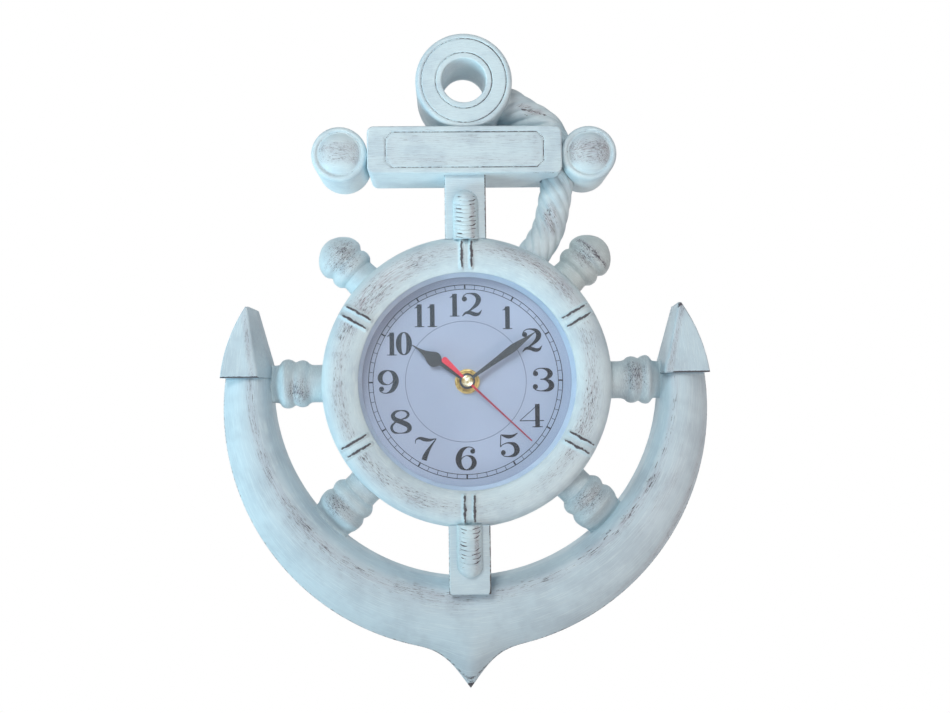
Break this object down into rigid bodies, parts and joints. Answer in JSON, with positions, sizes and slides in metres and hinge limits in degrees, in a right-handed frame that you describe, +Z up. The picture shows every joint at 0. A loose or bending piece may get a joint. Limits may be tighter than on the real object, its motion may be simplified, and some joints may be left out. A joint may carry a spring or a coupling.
{
  "type": "ship wheel wall clock",
  "caption": "Anchor-shaped wall clock with a ship's-wheel rim round a quartz dial, a moulded rope and turned handles, in distressed white paint.",
  "frame": {"origin": "the nail under the top of the keyhole slot, on the plane of the back that lies on the wall", "axes": "+X to the right seen from the front, +Y into the wall, +Z up; the front faces -Y"},
  "size_m": [0.2672, 0.0373, 0.3575],
  "materials": {
    "whitewash": "distressed white paint over dark brown",
    "dial_paper": "matt printed card",
    "lens_glass": "clear flat glass",
    "brass": "lacquered",
    "steel": "plain",
    "copper_wire": "enamelled wire",
    "black_hand": "satin black paint",
    "red_hand": "satin red paint",
    "black_plastic": "moulded",
    "gear_plastic": "moulded",
    "rubber": "matt",
    "board": "solder mask",
    "cell": "printed sleeve",
    "dowel": "plain"
  },
  "bodies": {
    "clock_body": {"ring": "whitewash", "beam": "whitewash", "ball_left": "whitewash", "ball_right": "whitewash", "shank_upper": "whitewash", "shank_lower": "whitewash", "spindle_top": "whitewash", "spindle_bottom": "whitewash", "arms": "whitewash", "fluke_left": "whitewash", "fluke_right": "whitewash", "rope": "whitewash", "wheel_rim": "whitewash", "spacer_ring": "whitewash", "handle_ne": "whitewash", "handle_e": "whitewash", "handle_se": "whitewash", "handle_sw": "whitewash", "handle_w": "whitewash", "handle_nw": "whitewash", "dial_plate": "dial_paper", "retaining_ring": "dial_paper", "lens": "lens_glass", "threaded_bushing": "brass", "brass_washer": "brass", "round_nut": "brass", "hanger_plate": "steel", "hanger_screw_left": "steel", "hanger_screw_right": "steel", "stator": "steel", "quartz_crystal": "steel", "contact_positive": "steel", "contact_negative": "steel", "coil": "copper_wire", "case_front": "black_plastic", "case_back": "black_plastic", "middle_plate": "gear_plastic", "rubber_washer": "rubber", "circuit_board": "board", "dowel_ring": "dowel", "dowel_ball_left": "dowel", "dowel_ball_right": "dowel", "dowel_fluke_left": "dowel", "dowel_fluke_right": "dowel"},
    "hour": {"hour_hand": "black_hand", "hour_wheel": "gear_plastic"},
    "minute": {"minute_hand": "black_hand", "cannon_pinion": "brass"},
    "motion": {"motion_wheel": "gear_plastic"},
    "knob": {"set_knob": "black_plastic"},
    "second": {"second_hand": "red_hand", "second_wheel": "gear_plastic"},
    "intermediate": {"intermediate_wheel": "gear_plastic"},
    "rotor": {"rotor": "steel"},
    "third": {"third_wheel": "gear_plastic"},
    "centre": {"centre_wheel": "brass"},
    "battery_cell": {"battery": "cell"}
  },
  "joints": [
    {"name": "minute_turn", "type": "hinge", "parent": "clock_body", "child": "minute", "pos_m": [0, -0.015, -0.128], "axis": [0, 1, 0], "continuous": true},
    {"name": "hour_turn", "type": "hinge", "parent": "clock_body", "child": "hour", "pos_m": [0, -0.015, -0.128], "axis": [0, 1, 0], "continuous": true},
    {"name": "motion_turn", "type": "hinge", "parent": "clock_body", "child": "motion", "pos_m": [-0.0096, -0.015, -0.128], "axis": [0, 1, 0], "continuous": true},
    {"name": "knob_turn", "type": "hinge", "parent": "clock_body", "child": "knob", "pos_m": [-0.01905, -0.015, -0.12633], "axis": [0, 1, 0], "continuous": true},
    {"name": "second_turn", "type": "hinge", "parent": "clock_body", "child": "second", "pos_m": [0, -0.015, -0.128], "axis": [0, 1, 0], "continuous": true},
    {"name": "intermediate_turn", "type": "hinge", "parent": "clock_body", "child": "intermediate", "pos_m": [-0.00594, -0.015, -0.12206], "axis": [0, 1, 0], "continuous": true},
    {"name": "rotor_turn", "type": "hinge", "parent": "clock_body", "child": "rotor", "pos_m": [-0.01103, -0.015, -0.11697], "axis": [0, 1, 0], "continuous": true},
    {"name": "third_turn", "type": "hinge", "parent": "clock_body", "child": "third", "pos_m": [0.00935, -0.015, -0.1226], "axis": [0, 1, 0], "continuous": true},
    {"name": "centre_wheel_turn", "type": "hinge", "parent": "clock_body", "child": "centre", "pos_m": [0, -0.015, -0.128], "axis": [0, 1, 0], "continuous": true},
    {"name": "battery_slide", "type": "slide", "parent": "clock_body", "child": "battery_cell", "axis": [0, 1, 0], "range_m": [0, 0.03]}
  ],
  "couplings": [
    {"joint": "hour_turn", "follows": "minute_turn", "ratio": 0.083333},
    {"joint": "motion_turn", "follows": "minute_turn", "ratio": -0.33333},
    {"joint": "knob_turn", "follows": "minute_turn", "ratio": 1},
    {"joint": "intermediate_turn", "follows": "second_turn", "ratio": -6},
    {"joint": "rotor_turn", "follows": "second_turn", "ratio": 30},
    {"joint": "third_turn", "follows": "second_turn", "ratio": -0.125},
    {"joint": "centre_wheel_turn", "follows": "second_turn", "ratio": 0.016667}
  ]
}
